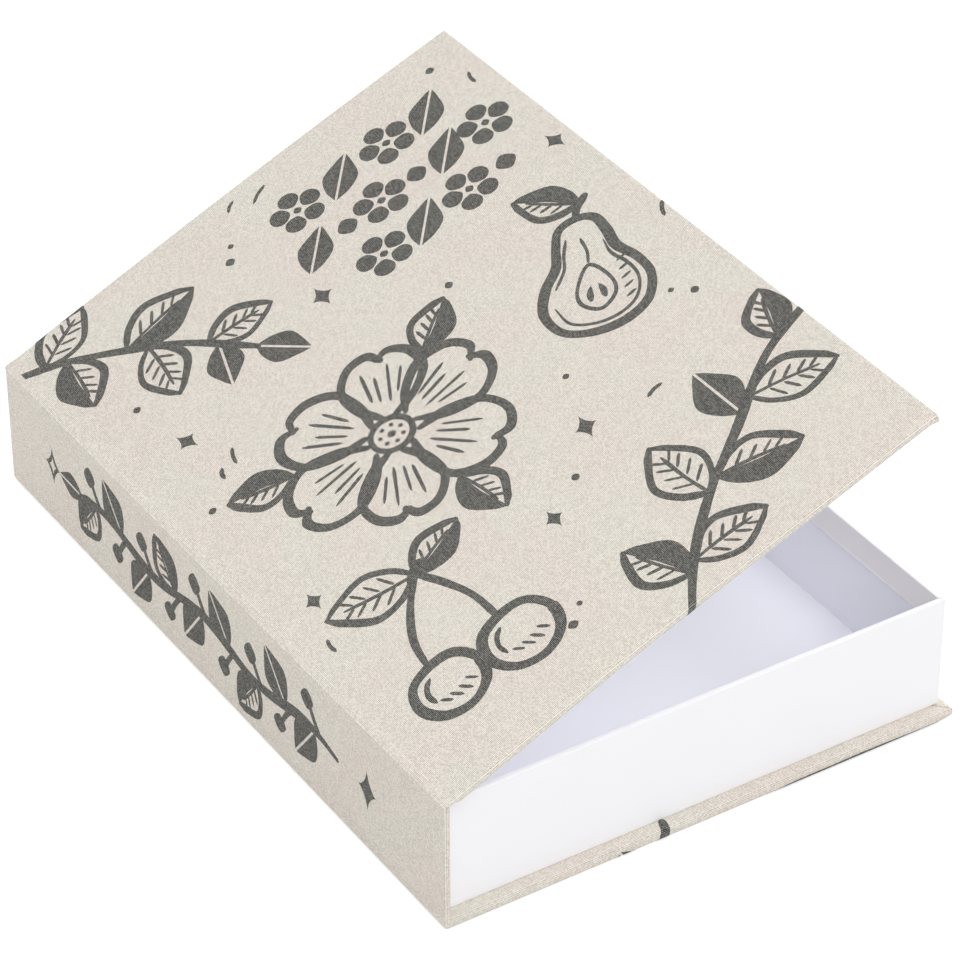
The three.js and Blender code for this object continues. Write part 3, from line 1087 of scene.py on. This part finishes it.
base_sheet = []
vine = [(vine_height(along), along) for along in range(-75, 86, 8)]
brush_line(base_sheet, placed(0, 0), vine, 3.8, 0.5)
for index, along in enumerate(range(-62, 80, 17)):
    side = 1 if index % 2 else -1
    height = vine_height(along)
    look = ("solid", "solid", "half")[index % 3]
    leaf(base_sheet, placed(height, along, 90 - side * 52), 19, 7.2, look)
    berry_height = height - side * 9
    stalk = [(height, along - 3), (height - side * 3.5, along), (berry_height, along + 3.5)]
    brush_line(base_sheet, placed(0, 0), stalk, 2.0)
    dot(base_sheet, placed(berry_height, along + 4), 0, 0, 3.6)
leaf(base_sheet, placed(vine[-1][0], 84, 88), 15, 4.6, "solid")
sparkle(base_sheet, placed(23, 104), 5.0, 7.2, 0.5)
sparkle(base_sheet, placed(22.5, -92), 5.0, 7.2)

# On the back cover the same motifs run over the spine's foot and the tail edge.
blossom(base_sheet, placed(-112, 46, 20))
halved_pear(base_sheet, placed(-58, 92, 30))
cherries(base_sheet, placed(-142, -52, -10))
branch(
    base_sheet,
    [(-16, 70), (-12, 44), (-14, 18), (-11, -8), (-18, -38)],
    3.0,
    (
        (0.10, -52, 24, 7.5, "half"),
        (0.16, 26, 18.5, 5.5, "solid"),
        (0.42, -55, 26, 8.5, "veined"),
        (0.46, 30, 19.5, 5.5, "solid"),
        (0.70, -50, 24, 8.0, "half"),
        (0.78, 34, 20.5, 5.5, "solid"),
        (1.0, -8, 22, 7.0, "veined"),
    ),
)
branch(
    base_sheet,
    [(-48, -84), (-60, -102), (-72, -118), (-76, -134), (-78, -141)],
    3.4,
    (
        (0.20, 52, 24, 8.0, "veined"),
        (0.34, -50, 25, 8.0, "half"),
        (0.62, 58, 22, 7.5, "solid"),
        (0.66, -56, 22, 7.5, "veined"),
    ),
)
# An ink stem along the lower rounding of the tail edge. It is print, and it also stands in for the shade
# line along that rounded bottom edge: part print, part painted shade.
edge_stem_and_painted_shade = [(-104, -130), (-122, -134.3), (-150, -134.6), (-178, -134.2)]
brush_line(base_sheet, placed(0, 0), edge_stem_and_painted_shade, 2.4)


def edge_levels(length, round_off, depth):
    quarter = round_off * math.pi / 2
    start = length - round_off
    far = start + quarter + depth - 2 * round_off
    levels = []
    for first in (start, far):
        levels += [first + quarter * step / quarter_steps for step in range(quarter_steps + 1)]
    levels.append(levels[-1] + past_edge)
    return levels


def round_the_edge(place, length, round_off, depth):
    past = place - (length - round_off)
    if past <= 0:
        return place, 0, 0
    quarter = round_off * math.pi / 2
    face = depth - 2 * round_off
    if past < quarter:
        angle = past / round_off
        out = round_off * math.sin(angle)
        return length - round_off + out, round_off * (1 - math.cos(angle)), angle
    if past < quarter + face:
        return length, round_off + past - quarter, right_angle
    angle = min(right_angle, (past - quarter - face) / round_off)
    inward = max(0, past - 2 * quarter - face)
    out = round_off * math.cos(angle) - inward
    down = depth - round_off + round_off * math.sin(angle)
    return length - round_off + out, down, right_angle + angle


def both_ways(levels):
    return [-level for level in levels[::-1]] + levels


def drawn_inside(shape, place):
    inside = False
    for start, end in zip(shape, shape[1:] + shape[:1]):
        if (start.y > place.y) != (end.y > place.y):
            share = (place.y - start.y) / (end.y - start.y)
            inside = inside != (place.x < start.x + share * (end.x - start.x))
    return inside


def near_cell(place):
    return math.floor(place / near_size)


def inked(name, sheet, across_levels, up_levels, surface):
    points = []
    cuts = []
    shapes_near = {}
    for shape in sheet:
        first = len(points)
        points.extend(shape)
        for corner in range(len(shape)):
            cuts.append((first + corner, first + (corner + 1) % len(shape)))
        columns = [near_cell(point.x) for point in shape]
        rows = [near_cell(point.y) for point in shape]
        for column in range(min(columns), max(columns) + 1):
            for line in range(min(rows), max(rows) + 1):
                shapes_near.setdefault((column, line), []).append(shape)
    for level in across_levels:
        cuts.append((len(points), len(points) + 1))
        points += [Vector((level / mm, side * sheet_reach[1])) for side in (-1, 1)]
    for level in up_levels:
        cuts.append((len(points), len(points) + 1))
        points += [Vector((side * sheet_reach[0], level / mm)) for side in (-1, 1)]
    flat, _, triangles, _, _, _ = delaunay_2d_cdt(points, cuts, [], 0, sheet_snap, False)
    kept = []
    for triangle in triangles:
        middle = sum((flat[corner] for corner in triangle), Vector((0, 0))) / 3
        near = shapes_near.get((near_cell(middle.x), near_cell(middle.y)), [])
        inside = across_levels[0] / mm < middle.x < across_levels[-1] / mm
        inside = inside and up_levels[0] / mm < middle.y < up_levels[-1] / mm
        if inside and any(drawn_inside(shape, middle) for shape in near):
            kept.append(triangle)
    ink = new_sheet(name, [surface(point * mm) for point in flat], kept)
    bpy.context.view_layer.objects.active = ink
    start_edit()
    bpy.ops.mesh.select_all(action="SELECT")
    bpy.ops.mesh.delete_loose(use_verts=True, use_edges=True, use_faces=False)
    end_edit()
    return ink


def ink_layer(ink):
    select_only(ink)
    bpy.ops.object.modifier_add(type="SOLIDIFY")
    ink.modifiers[-1].thickness = ink_depth
    ink.modifiers[-1].offset = -1
    bpy.ops.object.modifier_apply(modifier=ink.modifiers[-1].name)
    bpy.ops.object.shade_smooth_by_angle(angle=math.radians(40))


def on_lid(flat):
    across, drop, tip = round_the_edge(flat.x, lid_end, lid_edge_round, lid_thickness)
    up, end_drop, end_tip = round_the_edge(abs(flat.y), half_length, lid_edge_round, lid_thickness)
    side = 1 if flat.y > 0 else -1
    if end_drop > drop:
        out = Vector((0, side * math.sin(end_tip), math.cos(end_tip)))
    else:
        out = Vector((math.sin(tip), 0, math.cos(tip)))
    return Vector((across, side * up, -max(drop, end_drop))) + out * ink_lift


def on_base(flat):
    side = 1 if flat.y > 0 else -1
    if flat.x > -edge_round:
        turn = right_angle * min(1, max(0, (edge_round - flat.x) / (2 * edge_round)))
        out = Vector((-math.cos(turn), 0, -math.sin(turn)))
        centre = Vector((-half_width + edge_round, 0, max(edge_round, flat.x)))
        place = centre + out * edge_round
        depth = spine_thickness
        round_off = round_share * depth
    else:
        across, rise, tip = round_the_edge(-flat.x, case_width, edge_round, cover_thickness)
        out = Vector((math.sin(tip), 0, -math.cos(tip)))
        place = Vector((across - half_width, 0, rise))
        depth = cover_thickness
        round_off = edge_round
    up, end_rise, end_tip = round_the_edge(abs(flat.y), half_length, round_off, depth)
    place.y = side * up
    if end_rise:
        place -= out * end_rise
        out = out * math.cos(end_tip) + Vector((0, side * math.sin(end_tip), 0))
    return place + out * ink_lift


crease_levels = [ink_end] + [lid_start + row * mm for row in crease_rows]
lid_print = inked(
    "lid_print",
    lid_sheet,
    crease_levels + edge_levels(lid_end, lid_edge_round, lid_thickness),
    both_ways(edge_levels(half_length, lid_edge_round, lid_thickness)),
    on_lid,
)
lay_weave(lid_print, lid_cloth_place)
cut_for_bow()
ink_layer(lid_print)
bend_and_raise_lid(lid_print)

foot_levels = [edge_round * (1 - step / 2) for step in range(4, -1, -1)]
fore_levels = edge_levels(case_width, edge_round, cover_thickness)
base_print = inked(
    "spine_and_back_print",
    base_sheet,
    [-level for level in fore_levels[::-1]] + foot_levels + [spine_print_top],
    both_ways(edge_levels(half_length, edge_round, cover_thickness)),
    on_base,
)
lay_weave(base_print, base_cloth_place)
ink_layer(base_print)
settle_base(base_print)

charcoal_ink = woven_material(
    "charcoal_ink",
    dark=(0.035, 0.035, 0.032, 1),
    light=(0.445, 0.434, 0.403, 1),
    warm=(1.0, 0.98, 0.97, 1),
    cool=(0.98, 0.99, 0.97, 1),
    bump=0.5,
    dark_share=0.6,
)
dress(lid_print, charcoal_ink)
dress(base_print, charcoal_ink)
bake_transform(lid_print)
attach(base_print, "base")


# The case is lined with one white paper, pasted over the turn-ins. Its first part covers
# the joint, and the rest the inside of the lid up to 3 mm from the edges.
lining_thickness = 0.15 * mm
lining_margin = 3 * mm
lining_gap = 0.02 * mm
flat_height = -1 * mm


def pasted_lining(name, levels, stop):
    half_lining = half_length - lining_margin
    lining = new_block(
        name,
        (levels[0][0], -half_lining, flat_height),
        (stop, half_lining, flat_height + lining_thickness),
    )
    start_edit()
    for along, _ in levels[1:]:
        cut_at("x", along)
    end_edit()
    if stop > lid_join:
        cut_for_bow()
    for point in lining.data.vertices:
        depth = levels[0][1]
        for (start, before), (end, after) in zip(levels, levels[1:]):
            if point.co.x >= start:
                share = min(1, (point.co.x - start) / (end - start))
                depth = before + (after - before) * share
        point.co.z -= depth + flat_height + lining_thickness
    return lining


joint_levels = ((0.65, 0.82), (0.9, 0.86), (1.2, 0.92), (joint_middle / mm, 1.17))
joint_lining = pasted_lining(
    "joint_lining_paper",
    [(along * mm, depth * mm) for along, depth in joint_levels],
    joint_middle,
)
lid_lining = pasted_lining(
    "lid_lining_paper",
    [(along, depth + lining_gap) for along, depth in lid_depths[:-1]],
    lid_end - lining_margin,
)
white_lining = pulp_material(
    "white_lining_paper",
    clouds=(45, 3),
    dark=(0.938, 0.938, 0.998, 1),
    light=(0.946, 0.946, 0.999, 1),
    roughness=0.75,
    gloss=0.3,
    fibres=(700, 5, 0.25, 0.03 * mm),
)
for lining in (joint_lining, lid_lining):
    bend_and_raise_lid(lining)
    bpy.ops.object.shade_smooth_by_angle(angle=math.radians(30))
    dress(lining, white_lining)
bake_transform(joint_lining)
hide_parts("joint_lining")
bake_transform(lid_lining)
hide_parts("lid_lining")


# The tray is a scored blank of thin board, folded up and held at its four corners by
# gummed paper tape. White paper lines it inside before it is folded.
dress(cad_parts["tray_board"], greyboard)
dress(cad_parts["tray_lining"], white_lining)
gummed_tape = pulp_material(
    "gummed_paper_tape",
    clouds=(600, 6),
    dark=(0.50, 0.33, 0.16, 1),
    light=(0.64, 0.44, 0.22, 1),
    roughness=0.7,
    gloss=0.3,
)
for stay in ("tail_spine", "tail_fore", "head_spine", "head_fore"):
    dress(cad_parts["corner_stay_" + stay], gummed_tape)


# The tray's wrap is smooth white paper, glued round the outside. It turns in over the rim
# and down inside, and under the base. It is mitred on the rim, where a hairline shows.
wrap_low, wrap_high = (Vector(corner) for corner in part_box("tray_wrap"))
wall = 1.82 * mm
rim_turn_in = 10.5 * mm
base_turn_in = 14 * mm
wrap_round = 0.45 * mm
wrap_thickness = 0.2 * mm
slit_width = 0.22 * mm
slit_reach = 4 * mm
near_corner = 200 * mm
edge_taper = 0.5 * mm
edge_row = 1.5 * mm
edge_press = (0.9956, 0.9969, 1)
turn_in_edge = wrap_high.z - rim_turn_in


def points_by(piece, test):
    sketch = bmesh.from_edit_mesh(piece.data)
    sketch.select_mode = {"VERT"}
    for point in sketch.verts:
        point.select_set(bool(test(point.co)))
    sketch.select_flush_mode()
    bmesh.update_edit_mesh(piece.data)


wrap = new_block("tray_wrap_paper", wrap_low, wrap_high)
start_edit()
selected_by(wrap, lambda middle, normal: normal.z > 0.9)
bpy.ops.mesh.inset(thickness=wall, depth=0)
bpy.ops.mesh.extrude_region_move(TRANSFORM_OT_translate={"value": (0, 0, -rim_turn_in)})
bpy.ops.mesh.delete(type="FACE")
selected_by(wrap, lambda middle, normal: normal.z < -0.9)
bpy.ops.mesh.inset(thickness=base_turn_in, depth=0)
bpy.ops.mesh.delete(type="FACE")
sketch = bmesh.from_edit_mesh(wrap.data)
sketch.select_mode = {"EDGE"}
for edge in sketch.edges:
    edge.select_set(False)
for edge in sketch.edges:
    if len(edge.link_faces) == 2 and edge.calc_face_angle() > math.radians(60):
        edge.select_set(True)
bmesh.update_edit_mesh(wrap.data)
bpy.ops.mesh.bevel(offset=wrap_round, segments=4, affect="EDGES")
cut_at("z", turn_in_edge + edge_row)
cut_at("z", turn_in_edge + edge_taper)
points_by(wrap, lambda place: (
    abs(place.z - turn_in_edge - edge_taper) < 0.1 * mm
    and wrap_low.x + mm < place.x < wrap_high.x - mm
    and abs(place.y) < wrap_high.y - mm
))
bpy.ops.transform.resize(value=edge_press, center_override=((wrap_low + wrap_high) / 2))
for side_x, side_y in ((-1, -1), (-1, 1), (1, -1), (1, 1)):
    corner = Vector((wrap_low.x if side_x < 0 else wrap_high.x, side_y * wrap_high.y, wrap_high.z))
    across = Vector((side_x, -side_y, 0)).normalized()
    cut_slit(wrap, corner, across, slit_width, lambda middle, normal: (
        normal.z > 0.9 and (middle - corner).length < near_corner
    ))
    selected_by(wrap, lambda middle, normal: (
        normal.z > 0.9
        and abs((middle - corner).dot(across)) < slit_width / 2
        and (middle - corner).length < slit_reach
    ))
    bpy.ops.mesh.delete(type="FACE")
bpy.ops.mesh.select_all(action="SELECT")
bpy.ops.mesh.normals_make_consistent(inside=False)
end_edit()
give_thickness(wrap, wrap_thickness)

# The glued turn-in is a little warmer than the outside. Along its lower edge runs a thin dark
# band of painted shade, standing in for the shadow that the lifted edge casts on the wall below.
turn_in_and_painted_edge_shade = wrap.data.attributes.new("turn_in_and_painted_edge_shade", "FLOAT", "FACE")
for face in wrap.data.polygons:
    middle = face.center
    inside = wrap_low.x + wall - 0.5 * mm < middle.x < wrap_high.x - wall + 0.5 * mm
    inside = inside and abs(middle.y) < wrap_high.y - wall + 0.5 * mm
    if inside and middle.z > turn_in_edge - 0.1 * mm:
        # Faces in the lowest band, along the turn-in's edge, get 1: they are painted with shade.
        turn_in_and_painted_edge_shade.data[face.index].value = 1 if middle.z < turn_in_edge + edge_taper else 0.5


def turn_in_tint_and_painted_edge_shade(tree):
    share = add_node(tree, "Attribute", attribute_name="turn_in_and_painted_edge_shade")
    ramp_node = add_node(tree, "ValToRGB", {"Fac": share.outputs["Fac"]})
    ramp = ramp_node.color_ramp
    ramp.interpolation = "CONSTANT"
    ramp.elements[0].color = white
    ramp.elements[1].position = 0.75
    # This dark colour is painted shade, the shadow under the turn-in's lifted edge.
    ramp.elements[1].color = (0.45, 0.43, 0.45, 1)
    ramp.elements.new(0.25).color = (1.0, 0.985, 0.945, 1)
    return ramp_node.outputs["Color"]


white_wrap = pulp_material(
    "white_wrap_paper",
    clouds=(30, 2),
    dark=(0.905, 0.90, 0.925, 1),
    light=(0.925, 0.92, 0.94, 1),
    roughness=0.5,
    gloss=0.35,
    fibres=(420, 5, 0.12, 0.02 * mm),
    tint=turn_in_tint_and_painted_edge_shade,
)
dress(wrap, white_wrap)
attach(wrap, "base")
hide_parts("tray_wrap")
